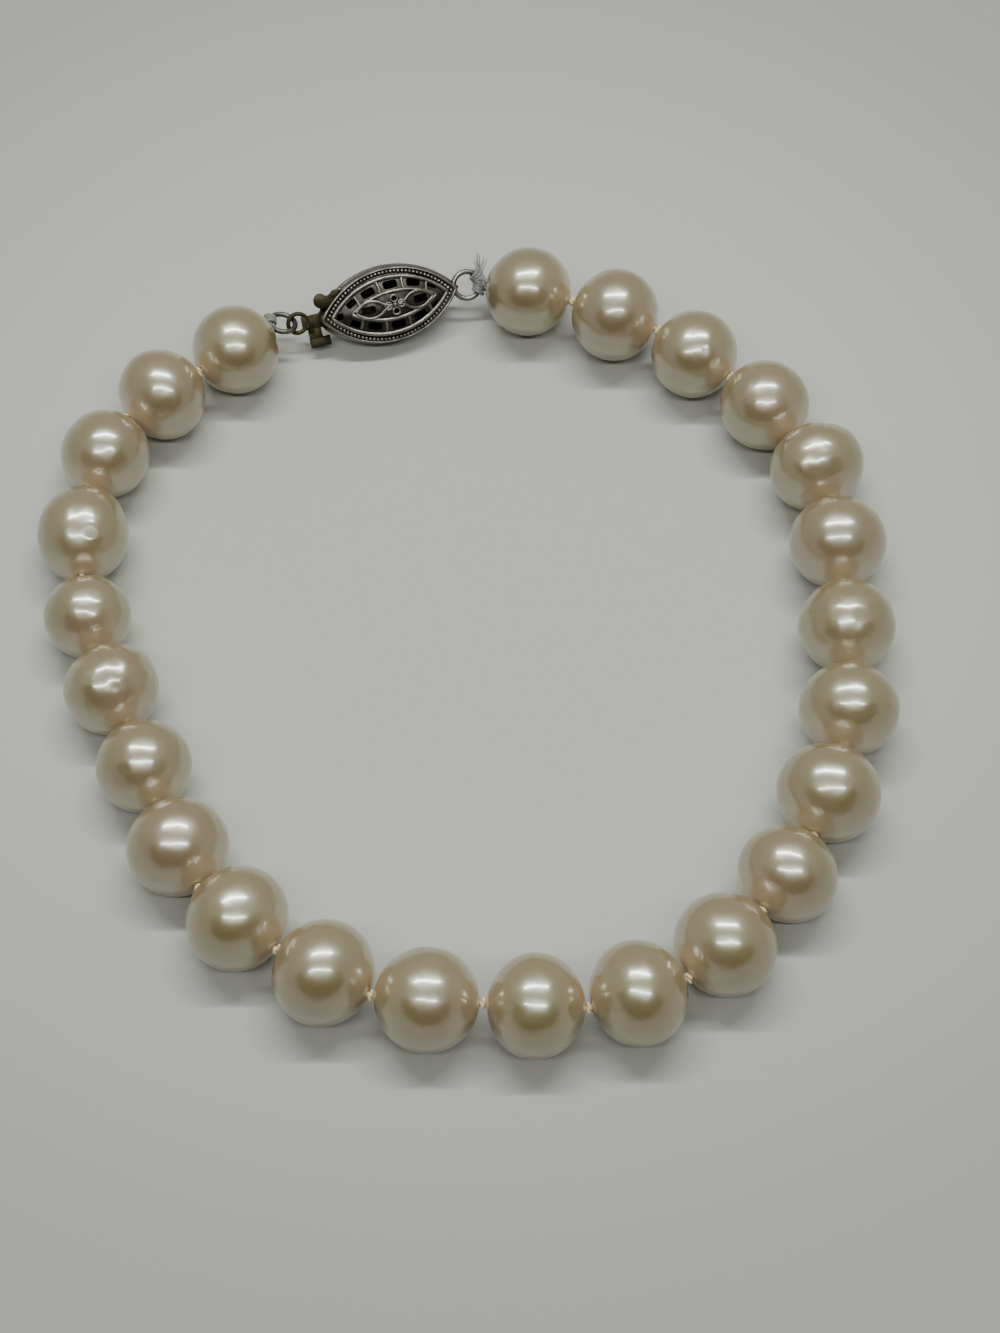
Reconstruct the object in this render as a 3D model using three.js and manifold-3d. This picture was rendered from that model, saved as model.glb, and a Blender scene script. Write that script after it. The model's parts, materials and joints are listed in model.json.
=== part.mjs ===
// Pearl bracelet: one strand of knotted pearls, closed by a filigree fish-hook clasp.
// Millimetres, +Z up. The closed loop lies on the plane z = 0, and every pearl rests on it.

import * as THREE from 'three';
import { mergeVertices } from 'three/addons/utils/BufferGeometryUtils.js';
import Module from 'manifold-3d';

const wasm = await Module();
wasm.setup();

// ---------------------------------------------------------------- driving dimensions

// The strand, pearl by pearl, from the hook's side of the clasp round to its other side.
// across is a pearl's diameter square to the thread, along is its length on the thread, and
// heading is the way the thread runs through it, in degrees from +X towards +Y.
const PEARLS = [
  { across: 6.9, along: 6.7, heading: 219 },
  { across: 7.1, along: 6.5, heading: 218 },
  { across: 6.8, along: 6.8, heading: 248 },
  { across: 6.9, along: 7.6, heading: 272 },
  { across: 6.5, along: 6.2, heading: 281 },
  { across: 7.0, along: 6.6, heading: 296 },
  { across: 7.0, along: 6.7, heading: 289 },
  { across: 7.4, along: 7.0, heading: 296 },
  { across: 7.6, along: 7.1, heading: 319 },
  { across: 7.6, along: 7.1, heading: 332 },
  { across: 7.4, along: 7.4, heading: 356 },
  { across: 7.4, along: 6.9, heading: 357 },
  { across: 7.5, along: 6.9, heading: 18 },
  { across: 7.5, along: 7.1, heading: 45 },
  { across: 7.3, along: 6.7, heading: 57 },
  { across: 7.6, along: 7.1, heading: 70 },
  { across: 7.4, along: 6.7, heading: 81 },
  { across: 7.2, along: 7.0, heading: 95 },
  { across: 7.3, along: 6.9, heading: 90 },
  { across: 7.3, along: 6.5, heading: 111 },
  { across: 6.9, along: 6.9, heading: 133 },
  { across: 6.8, along: 6.7, heading: 141 },
  { across: 7.2, along: 6.8, heading: 157 },
  { across: 6.9, along: 6.8, heading: 164 },
];
const FIRST_PEARL = new THREE.Vector2(-20.4, 26.5);
const BORE = 0.5; // radius of the drilled hole
const PEARL_SIDES = 16; // facets round the thread
const PEARL_BANDS = 8; // facets from hole to hole, an even number so that one edge is the widest

const THREAD = { radius: 0.2, sides: 8, loop: 0.53, ply: 0.16 }; // silk, and its loops on the rings
const KNOT = { gap: 0.4, radius: 0.42, half: 0.13 }; // one knot between each two pearls

// The clasp's own frame: u from the mouth to the soldered ring, v across, w out of the top face.
const CLASP = { centre: new THREE.Vector3(-8.7, 31.4, 2.8), yaw: 17, roll: 42 };
const BOX = { length: 11.8, width: 6.1, sides: 32 }; // marquise, over its flange
const SOLDERED_RING = { u: 6.45, radius: 1.05, wire: 0.26 };
const END_RING = { radius: 1.02, wire: 0.21, lean: 12, roll: -12 }; // leaning up towards the first pearl

// Half sections of the box at its waist: distance from the middle, and height.
const OUTER_WALL = [
  [0, -1.75], [1.3, -1.5], [2.25, -1.1], [2.8, -1.0], [3.05, -0.85], [3.05, -0.5],
  [2.85, -0.4], [2.85, 0.95], [2.3, 1.0], [1.3, 1.5], [0, 1.75],
];
const INNER_WALL = [
  [0, -1.45], [1.2, -1.22], [2.1, -0.85], [2.5, -0.8], [2.5, 0.65], [2.1, 0.75], [1.2, 1.2], [0, 1.45],
];

// Pierced work of the top face, charted for one quarter and mirrored to the others. The back is a
// plain dome.
const PATTERN_CENTRE = 0.3; // along u, because the mouth takes some of the left end
const WINDOWS = [
  { u: 0, v: 1.58, long: 1.15, wide: 0.62, turn: 0 },
  { u: 1.85, v: 1.32, long: 1.1, wide: 0.6, turn: -16 },
  { u: 3.3, v: 0.8, long: 0.8, wide: 0.5, turn: -28 },
  { u: 4.35, v: 0, long: 0.55, wide: 0.5, turn: 0 },
  { u: 2.05, v: 0, long: 1.0, wide: 0.55, turn: 0 },
  { u: 0.62, v: 0, long: 0.42, wide: 0.42, turn: 45 },
  { u: 0, v: 0.55, long: 0.42, wide: 0.42, turn: 45 },
];
const WINDOW_DEPTH = { low: 0.3, high: 2.3 };
const MOUTH = { from: -7, to: -3.6, half: 0.8, low: -0.88, high: -0.3 };
const TAB_SLOT = { from: -5.9, to: -3.3, near: 0.35, far: 3.5, low: -0.5, high: 0.72 };

// The tongue: a strip folded back on itself. Its lower leaf is the hook with the eye at its end,
// and its upper leaf is the lever that springs up behind the mouth.
const STRIP = { half: 0.55, thick: 0.25, lower: -0.7, upper: 0.15, fold: 3.0, mouthEnd: -6.9 };
const STOP = { from: -6.55, to: -4.95, near: -2.05, far: -1.3, low: -0.9, high: -0.35 }; // beside the mouth
const EYE = { u: -7.42, v: 0.1, radius: 0.71, wire: 0.17 };
const LEVER = { inner: 2.2, bend: -2.8, ball: new THREE.Vector2(-5.24, 2.1), ballRadius: 0.55, neck: 0.4 };
const TAB_THICK = 0.42;

// ---------------------------------------------------------------- finishes

const nacre = new THREE.MeshStandardMaterial({ color: 0xe9dfca, roughness: 0.28, metalness: 0 });
const silk = new THREE.MeshStandardMaterial({ color: 0xe2d4ae, roughness: 0.85, metalness: 0 });
const silver = new THREE.MeshStandardMaterial({ color: 0x8e8a82, roughness: 0.42, metalness: 1 });
const tarnished = new THREE.MeshStandardMaterial({ color: 0x5d564a, roughness: 0.55, metalness: 1 });

// ---------------------------------------------------------------- small helpers

const degrees = THREE.MathUtils.degToRad;

/** A closed three.js geometry as a solid that can be joined and cut. */
function solid(geometry) {
  geometry.deleteAttribute('normal');
  geometry.deleteAttribute('uv');
  const merged = mergeVertices(geometry, 1e-4);
  return new wasm.Manifold(new wasm.Mesh({
    numProp: 3,
    vertProperties: new Float32Array(merged.attributes.position.array),
    triVerts: new Uint32Array(merged.index.array),
  }));
}

/** The solid's surface as a three.js geometry again. */
function surface(body) {
  const mesh = body.getMesh();
  const geometry = new THREE.BufferGeometry();
  geometry.setAttribute('position', new THREE.BufferAttribute(mesh.vertProperties, 3));
  geometry.setIndex(new THREE.BufferAttribute(mesh.triVerts, 1));
  geometry.computeVertexNormals();
  return geometry;
}

/** Several solids joined into one. */
function joined(bodies) {
  return bodies.reduce((whole, body) => whole.add(body));
}

function named(name, geometry, material) {
  const mesh = new THREE.Mesh(geometry, material);
  mesh.name = name;
  return mesh;
}

/** A block between two opposite corners. */
function block(u0, u1, v0, v1, w0, w1) {
  const box = new THREE.BoxGeometry(u1 - u0, v1 - v0, w1 - w0);
  return solid(box.translate((u0 + u1) / 2, (v0 + v1) / 2, (w0 + w1) / 2));
}

/** A wire ring lying flat about the given point. */
function wireRing(radius, wire, u, v, w) {
  return solid(new THREE.TorusGeometry(radius, wire, 8, 16).translate(u, v, w));
}

/** A straight round rod from one point to another. */
function rod(from, to, radius) {
  const way = new THREE.Vector3().subVectors(to, from);
  const geometry = new THREE.CylinderGeometry(radius, radius, way.length(), THREAD.sides);
  const turn = new THREE.Quaternion().setFromUnitVectors(new THREE.Vector3(0, 1, 0), way.clone().normalize());
  const middle = new THREE.Vector3().addVectors(from, to).multiplyScalar(0.5);
  return solid(geometry.applyQuaternion(turn).translate(...middle));
}

// ---------------------------------------------------------------- the strand

/** Where each pearl sits and where each knot falls, walking the thread from the hook's side. */
function layStrand() {
  const knots = [];
  const walk = FIRST_PEARL.clone();
  const places = PEARLS.map((pearl, i) => {
    const way = new THREE.Vector2(1, 0).rotateAround(new THREE.Vector2(), degrees(pearl.heading));
    const half = (pearl.along + KNOT.gap) / 2;
    if (i > 0) walk.addScaledVector(way, half);
    const centre = new THREE.Vector3(walk.x, walk.y, pearl.across / 2);
    const ahead = new THREE.Vector3(way.x, way.y, 0);
    if (i === 0) knots.push(centre.clone().addScaledVector(ahead, -half));
    walk.addScaledVector(way, half);
    const next = PEARLS[i + 1] ?? pearl;
    knots.push(new THREE.Vector3(walk.x, walk.y, (pearl.across + next.across) / 4));
    return { centre, heading: pearl.heading };
  });
  return { places, knots };
}

/** A drilled pearl: a slightly flattened ball turned about its bore, which runs along X. */
function pearlGeometry({ across, along }) {
  const profile = [];
  const first = Math.asin(BORE / (across / 2));
  for (let i = 0; i <= PEARL_BANDS; i += 1) {
    const angle = THREE.MathUtils.lerp(first, Math.PI - first, i / PEARL_BANDS);
    profile.push(new THREE.Vector2(Math.sin(angle) * across / 2, -Math.cos(angle) * along / 2));
  }
  profile.push(profile[0].clone());
  return new THREE.LatheGeometry(profile, PEARL_SIDES).rotateZ(-Math.PI / 2);
}

function pearls(places) {
  return places.map(({ centre, heading }, i) => {
    const mesh = named(`pearl_${String(i + 1).padStart(2, '0')}`, pearlGeometry(PEARLS[i]), nacre);
    mesh.position.copy(centre);
    mesh.rotation.z = degrees(heading);
    return mesh;
  });
}

/** The silk between two pearls, knotted: a flattened ball square to the thread's mean way. */
function knotSolid(at, before, after) {
  const way = new THREE.Vector3().subVectors(after, before).normalize();
  const geometry = new THREE.SphereGeometry(1, 8, 6).scale(KNOT.radius, KNOT.half, KNOT.radius);
  const turn = new THREE.Quaternion().setFromUnitVectors(new THREE.Vector3(0, 1, 0), way);
  return solid(geometry.applyQuaternion(turn).translate(...at));
}

/** A loop of thread round a ring's wire at the given point, square to the wire. */
function loopSolid(at, wireWay) {
  const geometry = new THREE.TorusGeometry(THREAD.loop, THREAD.ply, 8, 12);
  const turn = new THREE.Quaternion().setFromUnitVectors(new THREE.Vector3(0, 0, 1), wireWay);
  return solid(geometry.applyQuaternion(turn).translate(...at));
}

/** The whole silk thread: straight in each bore, a knot in each gap, a loop on each end ring. */
function thread(knots, loops) {
  const rods = knots.slice(1).map((knot, i) => rod(knots[i], knot, THREAD.radius));
  const inner = knots.slice(1, -1);
  const balls = inner.map((knot, i) => knotSolid(knot, knots[i], knots[i + 2]));
  const ends = loops.flatMap(({ at, wireWay, knot }) => {
    const towards = new THREE.Vector3().subVectors(knot, at).projectOnPlane(wireWay).setLength(THREAD.loop);
    return [
      loopSolid(at, wireWay),
      rod(at.clone().add(towards), knot, THREAD.radius),
      solid(new THREE.SphereGeometry(THREAD.radius * 1.3, 8, 6).translate(...knot)),
    ];
  });
  return named('thread', surface(joined([...rods, ...balls, ...ends])), silk);
}

// ---------------------------------------------------------------- the clasp

/** How far a marquise's edge is from its middle, looking out at the given angle. */
function marquiseReach(angle) {
  const a = BOX.length / 2;
  const b = BOX.width / 2;
  const arc = (a * a + b * b) / (2 * b);
  const drop = arc - b;
  return Math.sqrt(arc ** 2 - (drop * Math.cos(angle)) ** 2) - drop * Math.abs(Math.sin(angle));
}

/** A round box of the given half section, drawn out into the marquise. */
function marquiseBox(section) {
  const profile = section.map(([r, w]) => new THREE.Vector2(r, w));
  const geometry = new THREE.LatheGeometry(profile, BOX.sides).rotateX(Math.PI / 2);
  const points = geometry.attributes.position;
  for (let i = 0; i < points.count; i += 1) {
    const x = points.getX(i);
    const y = points.getY(i);
    const stretch = marquiseReach(Math.atan2(y, x)) / (BOX.width / 2);
    points.setXY(i, x * stretch, y * stretch);
  }
  return solid(geometry);
}

/** A window through the box's top face. */
function windowSolid({ u, v, long, wide, turn }, flipU, flipV) {
  const { low, high } = WINDOW_DEPTH;
  const geometry = new THREE.BoxGeometry(long, wide, high - low).rotateZ(degrees(turn * flipU * flipV));
  return solid(geometry.translate(PATTERN_CENTRE + u * flipU, v * flipV, (low + high) / 2));
}

/** The hollow filigree box with its mouth, its slot for the lever's tab and its soldered ring. */
function claspBox() {
  const cuts = WINDOWS.flatMap((chart) => {
    const alongU = chart.u > 0 ? [1, -1] : [1];
    const acrossV = chart.v > 0 ? [1, -1] : [1];
    return alongU.flatMap((flipU) => acrossV.map((flipV) => windowSolid(chart, flipU, flipV)));
  });
  const mouth = block(MOUTH.from, MOUTH.to, -MOUTH.half, MOUTH.half, MOUTH.low, MOUTH.high);
  const slot = block(TAB_SLOT.from, TAB_SLOT.to, TAB_SLOT.near, TAB_SLOT.far, TAB_SLOT.low, TAB_SLOT.high);
  const shell = marquiseBox(OUTER_WALL).subtract(marquiseBox(INNER_WALL));
  const pierced = joined([...cuts, mouth, slot]);
  const ring = wireRing(SOLDERED_RING.radius, SOLDERED_RING.wire, SOLDERED_RING.u, 0, 0);
  return named('clasp_box', surface(shell.subtract(pierced).add(ring)), silver);
}

/** The hook: the lower leaf, its fold inside the box, its stop and the eye that the end ring hangs in. */
function hook() {
  const { half, thick, lower, upper, fold, mouthEnd } = STRIP;
  const foldMiddle = (lower + upper + thick) / 2;
  const outer = (upper + thick - lower) / 2;
  const bend = new THREE.Shape()
    .absarc(0, 0, outer, -Math.PI / 2, Math.PI / 2)
    .absarc(0, 0, outer - thick, Math.PI / 2, -Math.PI / 2, true);
  const bendDepth = { depth: 2 * half, bevelEnabled: false, curveSegments: 6 };
  const bendPlate = new THREE.ExtrudeGeometry(bend, bendDepth)
    .translate(0, 0, -half)
    .rotateX(Math.PI / 2)
    .translate(fold, 0, foldMiddle);
  const leaf = block(mouthEnd, fold, -half, half, lower, lower + thick);
  const stub = block(fold - 0.4, fold, -half, half, upper, upper + thick);
  const stop = block(STOP.from, STOP.to, STOP.near, STOP.far, STOP.low, STOP.high);
  const stopArm = block(STOP.from, STOP.from + half, STOP.far - half, 0, lower, lower + thick);
  const eye = wireRing(EYE.radius, EYE.wire, EYE.u, EYE.v, lower + thick / 2);
  return named('hook', surface(joined([leaf, solid(bendPlate), stub, stop, stopArm, eye])), tarnished);
}

/** The lever: the upper leaf and its thumb tab, which leaves the box sideways and ends in a ball. */
function lever() {
  const { half, thick, upper } = STRIP;
  const leaf = block(LEVER.bend, LEVER.inner, -half, half, upper, upper + thick);
  const root = new THREE.Vector2(LEVER.bend, 0);
  const reach = root.distanceTo(LEVER.ball);
  const outline = new THREE.Shape()
    .moveTo(0, -half)
    .lineTo(reach, -LEVER.neck)
    .lineTo(reach, LEVER.neck)
    .lineTo(0, half);
  const turn = Math.atan2(LEVER.ball.y - root.y, LEVER.ball.x - root.x);
  const arm = new THREE.ExtrudeGeometry(outline, { depth: thick, bevelEnabled: false })
    .rotateZ(turn)
    .translate(root.x, root.y, upper);
  const ball = new THREE.SphereGeometry(LEVER.ballRadius, 12, 8)
    .scale(1, 1, TAB_THICK / LEVER.ballRadius)
    .translate(LEVER.ball.x, LEVER.ball.y, upper + thick / 2);
  const elbow = new THREE.CylinderGeometry(half, half, thick, 12)
    .rotateX(Math.PI / 2)
    .translate(root.x, root.y, upper + thick / 2);
  return named('lever', surface(joined([leaf, solid(arm), solid(elbow), solid(ball)])), tarnished);
}

// ---------------------------------------------------------------- assembly

const clasp = new THREE.Group();
clasp.add(claspBox(), hook(), lever());
clasp.rotation.set(degrees(CLASP.roll), 0, degrees(CLASP.yaw), 'ZYX');
clasp.position.copy(CLASP.centre);
clasp.updateMatrixWorld();

// The end ring hangs in the eye: its wire passes through the middle of the eye's hole.
const endRing = named('end_ring', new THREE.TorusGeometry(END_RING.radius, END_RING.wire, 8, 16), silver);
const eyeMiddle = new THREE.Vector3(EYE.u, EYE.v, STRIP.lower + STRIP.thick / 2);
endRing.rotation.set(degrees(END_RING.roll), degrees(END_RING.lean), 0, 'YXZ');
endRing.position.set(-END_RING.radius, 0, 0).applyEuler(endRing.rotation).add(clasp.localToWorld(eyeMiddle));
endRing.updateMatrixWorld();

const { places, knots } = layStrand();

// Each loop of thread holds its ring at the side that faces the strand.
const leftSide = new THREE.Vector3(-END_RING.radius, 0, 0).applyMatrix4(endRing.matrixWorld);
const rightSide = clasp.localToWorld(new THREE.Vector3(SOLDERED_RING.u + SOLDERED_RING.radius, 0, 0));
const wireWay = (ring) => new THREE.Vector3(0, 1, 0).transformDirection(ring.matrixWorld);
const loops = [
  { at: leftSide, wireWay: wireWay(endRing), knot: knots[0] },
  { at: rightSide, wireWay: wireWay(clasp), knot: knots[knots.length - 1] },
];

const bracelet = new THREE.Group();
bracelet.add(...pearls(places), thread(knots, loops), clasp, endRing);

// The origin is under the middle of the loop's box, on the surface that it lies on.
bracelet.updateMatrixWorld(true);
const middle = new THREE.Box3().setFromObject(bracelet, true).getCenter(new THREE.Vector3());
bracelet.position.set(-middle.x, -middle.y, 0);

const part = new THREE.Group();
part.add(bracelet);

export default part;
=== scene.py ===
# Pearl bracelet: the finish of a knotted pearl strand and its filigree fish-hook clasp.
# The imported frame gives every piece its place; sizes below are in millimetres unless a unit says otherwise.

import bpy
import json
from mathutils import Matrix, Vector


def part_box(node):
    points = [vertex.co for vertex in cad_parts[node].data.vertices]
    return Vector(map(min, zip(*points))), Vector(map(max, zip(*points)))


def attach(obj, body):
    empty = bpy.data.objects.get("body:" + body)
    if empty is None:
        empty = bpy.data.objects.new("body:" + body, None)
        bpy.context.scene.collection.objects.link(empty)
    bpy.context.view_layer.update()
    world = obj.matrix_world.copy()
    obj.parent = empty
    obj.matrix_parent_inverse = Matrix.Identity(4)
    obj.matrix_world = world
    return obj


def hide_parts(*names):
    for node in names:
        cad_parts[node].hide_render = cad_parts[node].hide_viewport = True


bl_info = {
    "name": "Pearl Bracelet",
    "version": (1, 0, 0),
    "blender": (4, 5, 0),
    "location": "3D View > Sidebar > Bracelet",
    "description": "Strings a knotted pearl bracelet and closes it with a filigree fish-hook clasp",
    "category": "Add Mesh",
}

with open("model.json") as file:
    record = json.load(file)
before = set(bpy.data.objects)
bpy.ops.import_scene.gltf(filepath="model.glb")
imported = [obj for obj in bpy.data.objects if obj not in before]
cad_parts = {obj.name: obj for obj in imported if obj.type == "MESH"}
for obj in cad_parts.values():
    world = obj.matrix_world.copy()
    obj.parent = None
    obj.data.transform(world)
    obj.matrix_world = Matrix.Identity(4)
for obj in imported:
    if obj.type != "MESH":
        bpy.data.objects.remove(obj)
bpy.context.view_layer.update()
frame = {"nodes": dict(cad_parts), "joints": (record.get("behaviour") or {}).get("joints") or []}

import json
import math
import random

import bmesh
import bpy
import numpy as np
from bpy.props import FloatProperty, FloatVectorProperty, IntProperty, PointerProperty, StringProperty
from mathutils import Matrix, Vector, noise

MM = 0.001
SAME = 1e-6  # heights closer than this are level
WELD = 1e-7  # points closer than this are one
STRAND = "strand"
LEVER = "lever"
PEARL_NODES = sorted(name for name in frame["nodes"] if name.startswith("pearl_"))


# ------------------------------------------------------------------ the frame's own measures


def read_pearls():
    """Each pearl's middle, the way its bore runs and its diameters, in metres. The longest edges of the
    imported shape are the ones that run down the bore."""
    pearls = []
    for name in PEARL_NODES:
        low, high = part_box(name)
        middle = (low + high) / 2
        across = high.z - low.z
        mesh = frame["nodes"][name].data
        points = np.array([v.co for v in mesh.vertices]) - np.array(middle)
        ends = np.array([edge.vertices for edge in mesh.edges])
        spans = points[ends[:, 1]] - points[ends[:, 0]]
        spans = spans[np.linalg.norm(spans, axis=1) > 0.6 * across]
        spans *= np.where(spans @ spans[0] < 0, -1, 1)[:, None]
        way = Vector(spans.sum(axis=0))
        way.z = 0
        way.normalize()
        along = 2 * abs(points @ np.array(way)).max()
        pearls.append({"name": name, "middle": middle, "way": way, "across": across, "along": along})
    for this, after in zip(pearls, pearls[1:] + pearls[-2:-1]):
        onward = after["middle"] - this["middle"]
        if this is pearls[-1]:
            onward.negate()
        if onward.dot(this["way"]) < 0:
            this["way"].negate()
    return pearls


def read_clasp():
    """The clasp's own axes in millimetres: u along it, v across and w out of its top face."""
    joint = frame["joints"][0]
    across = -Vector(joint["axis"]).normalized()
    along = across.cross(Vector((0, 0, 1))).normalized()
    out = along.cross(across)
    fold = Vector(joint["pos_m"])
    middle = fold - (along * FOLD_U + out * FOLD_W) * MM
    axes = Matrix((along, across, out)).transposed().to_4x4()
    return Matrix.Translation(middle) @ axes @ Matrix.Scale(MM, 4)


FOLD_U, FOLD_W = 3.0, -0.15  # where the tongue's fold is in the clasp's own axes
PEARLS = read_pearls()
CLASP = read_clasp()


# ------------------------------------------------------------------ settings


class PearlSettings(bpy.types.PropertyGroup):
    rings: IntProperty(name="Rings", description="Rings of faces from hole to hole", default=56, min=12)
    sides: IntProperty(name="Sides", description="Faces round the thread", default=96, min=16)
    waviness: FloatProperty(
        name="Waviness", description="Height of the slow swells in the nacre, as a share of the radius",
        default=0.012, min=0, max=0.05)
    hole: FloatProperty(name="Hole", description="Radius of the drilled hole, in mm", default=0.3, min=0.1)
    cream: StringProperty(
        name="Cream", description="Body colour of a cream pearl, sRGB hex", default="#7A6C47")
    rose: StringProperty(
        name="Rose", description="Body colour of a rosier pearl, sRGB hex", default="#7D6A4B")
    green: StringProperty(
        name="Green", description="Body colour of a greener pearl, sRGB hex", default="#796E47")
    # Painted fill light: a lighter body colour where pearls face each other and the sheet, for light passed
    # between them.
    fill: StringProperty(
        name="Fill", description="Body colour where pearls face each other, sRGB hex", default="#B5A185")
    luster: FloatProperty(
        name="Luster", description="Roughness of the outermost nacre; lower is glossier",
        default=0.14, min=0, max=1, subtype="FACTOR")
    glow: FloatProperty(
        name="Glow", description="Roughness of the layers below, which spread the light into a soft glow",
        default=0.31, min=0, max=1, subtype="FACTOR")
    depth: FloatProperty(
        name="Depth", description="How far light travels inside the nacre, in mm", default=2.2, min=0)


class ThreadSettings(bpy.types.PropertyGroup):
    silk: StringProperty(name="Silk", description="Colour of the knotted silk, sRGB hex", default="#DCCB9B")
    worn: StringProperty(
        name="Worn silk", description="Colour of the handled end, sRGB hex", default="#7C7D78")
    ply: FloatProperty(
        name="Ply", description="Radius of the thread in a knot, in mm", default=0.125, min=0.02)
    knot: FloatProperty(name="Knot", description="Radius of a knot, in mm", default=0.46, min=0.1)
    hairs: IntProperty(name="Hairs", description="Loose fibres in the frayed tail", default=26, min=0)


class ClaspSettings(bpy.types.PropertyGroup):
    silver: StringProperty(name="Silver", description="Worn bright silver, sRGB hex", default="#8F8C82")
    dull: StringProperty(
        name="Dull silver", description="Silver of the loose ring, sRGB hex", default="#74726A")
    soot: StringProperty(
        name="Sooty silver", description="Silver of the pierced dome between its wires, sRGB hex",
        default="#4C4942")
    patina: StringProperty(
        name="Patina", description="Silver darkened in the recesses, sRGB hex", default="#23211D")
    tarnish: StringProperty(
        name="Tarnish", description="Brown tarnish of the tongue, sRGB hex", default="#48422F")
    bead: FloatProperty(name="Bead", description="Radius of a border bead, in mm", default=0.15, min=0.02)
    wire: FloatProperty(
        name="Wire", description="Radius of the filigree's outer wire, in mm", default=0.17, min=0.02)


class StageSettings(bpy.types.PropertyGroup):
    floor: StringProperty(name="Floor", description="Colour of the pale sheet, sRGB hex", default="#ABABA4")
    distance: FloatProperty(
        name="Distance", description="Camera to the point it aims at", default=0.26, unit="LENGTH")
    elevation: FloatProperty(
        name="Elevation", description="Camera above the sheet", default=math.radians(58.5), unit="ROTATION")
    aim: FloatVectorProperty(
        name="Aim", description="Point on the sheet that the camera looks at",
        default=(0.00276, -0.00117, 0), unit="LENGTH", size=3)
    lens: FloatProperty(name="Lens", description="Focal length in mm", default=94.4, min=1)
    tube_far: FloatProperty(
        name="Far tube", description="Power of the far tube, in watts", default=10.3, min=0)
    tube_near: FloatProperty(
        name="Near tube", description="Power of the near tube, in watts", default=5.0, min=0)
    ambient: FloatProperty(
        name="Ambient", description="Strength of the room's light", default=0.41, min=0)


# ------------------------------------------------------------------ small helpers


def linear(text):
    """An sRGB hex colour as a linear RGBA."""
    parts = [int(text[i:i + 2], 16) / 255 for i in (1, 3, 5)]
    return (*(c / 12.92 if c <= 0.04045 else ((c + 0.055) / 1.055) ** 2.4 for c in parts), 1.0)


def dimmed(text, share):
    """A share of the light of an sRGB hex colour, as a linear RGBA."""
    return (*(c * share for c in linear(text)[:3]), 1.0)


def add(tree, kind, links=(), inputs=None, **properties):
    """Adds a node with its properties, its fixed inputs by name or number, and its links, each an output
    and the input of this node that it feeds."""
    node = tree.nodes.new(kind)
    for name, value in properties.items():
        setattr(node, name, value)
    for name, value in (inputs or {}).items():
        node.inputs[name].default_value = value
    for source, target in links:
        tree.links.new(source, node.inputs[target])
    return node


def new_material(name):
    """An empty node material and its tree."""
    material = bpy.data.materials.new(name)
    material.use_nodes = True
    material.node_tree.nodes.clear()
    return material, material.node_tree


def finished(tree, shader):
    """Links a shader to the material's output."""
    add(tree, "ShaderNodeOutputMaterial", [(shader.outputs["BSDF"], "Surface")])


def piece(name, mesh, materials, replaces, body=STRAND):
    """A finished mesh in its place as a piece that rides on a body; a cut mesh has its materials."""
    obj = bpy.data.objects.new(name, mesh)
    bpy.context.scene.collection.objects.link(obj)
    if not mesh.materials:
        for material in materials:
            mesh.materials.append(material)
    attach(obj, body)
    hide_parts(*replaces)
    return obj


def mesh_from(bm, name, place=None):
    """Closes a bmesh into a smooth mesh, put in its place, with its faces outwards."""
    if place is not None:
        bmesh.ops.transform(bm, matrix=place, verts=bm.verts)
    bmesh.ops.recalc_face_normals(bm, faces=bm.faces)
    mesh = bpy.data.meshes.new(name)
    bm.to_mesh(mesh)
    bm.free()
    mesh.polygons.foreach_set("use_smooth", [True] * len(mesh.polygons))
    return mesh


def tubes(name, routes, radius, closed=True, sides=3, smooth=False):
    """Round wires along the given routes, each a list of points, as one mesh; smooth ones cut corners."""
    curve = bpy.data.curves.new(name, "CURVE")
    curve.dimensions = "3D"
    curve.bevel_depth = radius
    curve.bevel_resolution = sides
    curve.use_fill_caps = True
    for route in routes:
        spline = curve.splines.new("NURBS" if smooth else "POLY")
        spline.points.add(len(route) - 1)
        for point, co in zip(spline.points, route):
            point.co = (*co, 1)
        spline.use_cyclic_u = closed
        if smooth:
            spline.order_u = 3
            spline.resolution_u = 8
            spline.use_endpoint_u = not closed
    holder = bpy.data.objects.new(name, curve)
    bpy.context.scene.collection.objects.link(holder)
    made = bpy.data.meshes.new_from_object(holder.evaluated_get(bpy.context.evaluated_depsgraph_get()))
    bpy.data.objects.remove(holder)
    bpy.data.curves.remove(curve)
    bm = bmesh.new()
    bm.from_mesh(made)
    bpy.data.meshes.remove(made)
    return mesh_from(bm, name)


def merged(bm, mesh):
    """Adds a mesh's faces to a bmesh and drops the mesh."""
    bm.from_mesh(mesh)
    bpy.data.meshes.remove(mesh)


def circle(middle, axis, radius, count=48, start=0.0, sweep=math.tau):
    """Points round an axis; a full turn leaves the last point out."""
    place = Matrix.Translation(middle) @ Vector(axis).to_track_quat("Z", "Y").to_matrix().to_4x4()
    steps = count if sweep == math.tau else count - 1
    turns = [start + sweep * i / steps for i in range(count)]
    return [place @ Vector((math.cos(t) * radius, math.sin(t) * radius, 0)) for t in turns]


def eased(bm, geometry, offset, affect="EDGES", segments=2):
    """Rounds the given edges or corners."""
    bmesh.ops.bevel(
        bm, geom=geometry, offset=offset, offset_type="OFFSET", segments=segments, profile=0.5,
        affect=affect, material=-1, clamp_overlap=True)


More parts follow.
